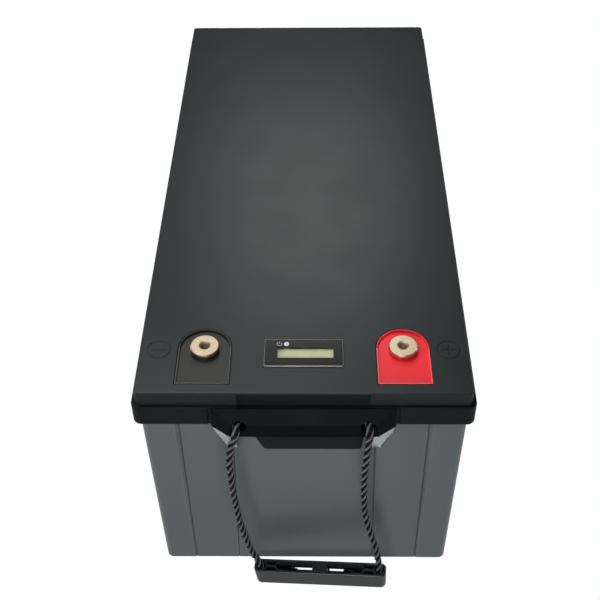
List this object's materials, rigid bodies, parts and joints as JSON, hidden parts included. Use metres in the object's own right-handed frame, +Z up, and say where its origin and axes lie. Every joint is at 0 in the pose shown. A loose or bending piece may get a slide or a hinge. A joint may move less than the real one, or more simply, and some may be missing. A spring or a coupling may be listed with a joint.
{
  "type": "battery pack",
  "caption": "Long rectangular lithium battery pack with a stepped lid, two round screw terminals, a charge meter and a rope handle with a moulded grip at each end.",
  "frame": {"origin": "bottom centre of the pack, under the middle of the lid", "axes": "+Z up, the terminals and the charge meter at -Y, the negative terminal at -X"},
  "size_m": [0.242, 0.5538, 0.2212],
  "materials": {
    "case_plastic": "moulded ABS, fine grain, satin",
    "lid_plastic": "moulded ABS, satin with a grained top",
    "seal_rubber": "matt",
    "negative_cover_plastic": "satin",
    "positive_cover_plastic": "glossy",
    "terminal_brass": "machined, satin",
    "zinc_steel": "zinc plated",
    "meter_plastic": "glossy",
    "meter_trim_metal": "bright edge trim",
    "meter_lens_glass": "clear",
    "meter_display_glass": "reflective liquid crystal",
    "backlight_plastic": "diffusing",
    "circuit_board": "solder mask",
    "button_rubber": "moulded",
    "rope_fibre": "laid polypropylene, glossy",
    "grip_plastic": "moulded, satin",
    "cell_wrap": "blue film over an aluminium can",
    "separator_plastic": "glass fibre sheet",
    "end_plate_aluminium": "plain",
    "band_steel": "plain",
    "busbar_copper": "tinned or bare copper",
    "foam": "closed-cell foam",
    "bms_plastic": "potted",
    "cable_red": "silicone insulation",
    "cable_black": "silicone insulation"
  },
  "bodies": {
    "pack": {"back_end_plate": "end_plate_aluminium", "back_foam": "foam", "back_rope_bight": "rope_fibre", "base_pad": "foam", "bms_heat_sink": "end_plate_aluminium", "bms_module": "bms_plastic", "bms_screws": "zinc_steel", "busbar_1": "busbar_copper", "busbar_2": "busbar_copper", "busbar_3": "busbar_copper", "busbar_negative": "busbar_copper", "busbar_nuts": "zinc_steel", "busbar_positive": "busbar_copper", "cable_lugs": "busbar_copper", "case_container": "case_plastic", "cell_1": "cell_wrap", "cell_2": "cell_wrap", "cell_3": "cell_wrap", "cell_4": "cell_wrap", "cell_5": "cell_wrap", "cell_6": "cell_wrap", "cell_7": "cell_wrap", "cell_8": "cell_wrap", "cell_separators": "separator_plastic", "front_end_plate": "end_plate_aluminium", "front_foam": "foam", "front_rope_bight": "rope_fibre", "hold_down_foam": "foam", "insulation_board": "separator_plastic", "left_side_foam": "foam", "lid": "lid_plastic", "lid_seal": "seal_rubber", "meter_backlight": "backlight_plastic", "meter_bezel": "meter_plastic", "meter_circuit_board": "circuit_board", "meter_display": "meter_display_glass", "meter_lead": "cable_black", "meter_lens": "meter_lens_glass", "meter_retainer": "meter_plastic", "meter_trim": "meter_trim_metal", "negative_terminal_cover": "negative_cover_plastic", "negative_terminal_post": "terminal_brass", "output_negative_cable": "cable_black", "pack_negative_cable": "cable_black", "positive_cable": "cable_red", "positive_terminal_cover": "positive_cover_plastic", "positive_terminal_post": "terminal_brass", "right_side_foam": "foam", "sense_harness": "cable_black", "stack_bands": "band_steel", "terminal_nuts": "zinc_steel", "terminal_seals": "seal_rubber", "wake_switch": "circuit_board"},
    "front_handle": {"front_rope_left": "rope_fibre", "front_rope_right": "rope_fibre", "front_grip": "grip_plastic"},
    "back_handle": {"back_rope_left": "rope_fibre", "back_rope_right": "rope_fibre", "back_grip": "grip_plastic"},
    "meter_button": {"wake_button": "button_rubber"}
  },
  "joints": [
    {"name": "front_handle_swing", "type": "hinge", "parent": "pack", "child": "front_handle", "pos_m": [0, -0.2649, 0.193], "axis": [-1, 0, 0], "range_deg": [-3, 180]},
    {"name": "back_handle_swing", "type": "hinge", "parent": "pack", "child": "back_handle", "pos_m": [0, 0.2649, 0.193], "axis": [1, 0, 0], "range_deg": [-3, 180]},
    {"name": "wake_button_press", "type": "slide", "parent": "pack", "child": "meter_button", "axis": [0, 0, -1], "range_m": [0, 0.0004], "stiffness_N_per_m": 400, "springref_m": -0.001}
  ]
}
